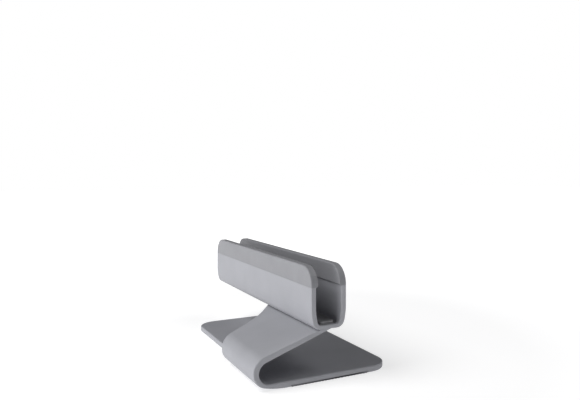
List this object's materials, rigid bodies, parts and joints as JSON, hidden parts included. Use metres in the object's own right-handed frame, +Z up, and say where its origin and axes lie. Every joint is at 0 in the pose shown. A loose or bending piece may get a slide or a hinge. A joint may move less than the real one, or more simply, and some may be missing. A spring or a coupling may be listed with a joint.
{
  "type": "vertical laptop stand",
  "caption": "Free-standing aluminium stand that holds one closed laptop upright in a padded slot, on a flat foot plate joined by a rolled neck.",
  "frame": {"origin": "middle of the footprint, on the surface that the stand rests on", "axes": "+X along the slot, towards the end where base, neck and slot are flush; +Y from the roll to the back; +Z up"},
  "size_m": [0.245, 0.125, 0.092],
  "materials": {
    "anodised_aluminium": "bead-blasted, space-grey anodised",
    "cap_silicone": "smooth matte",
    "seat_silicone": "matte",
    "base_rubber": "matte, fine-textured",
    "adhesive_film": "translucent film"
  },
  "bodies": {
    "root": {"stand_body": "anodised_aluminium", "front_edge_cap": "cap_silicone", "rear_edge_cap": "cap_silicone", "front_cap_tape": "adhesive_film", "rear_cap_tape": "adhesive_film", "slot_seat_pad": "seat_silicone", "seat_pad_adhesive": "adhesive_film", "base_grip_pad": "base_rubber", "base_pad_adhesive": "adhesive_film"}
  },
  "joints": []
}
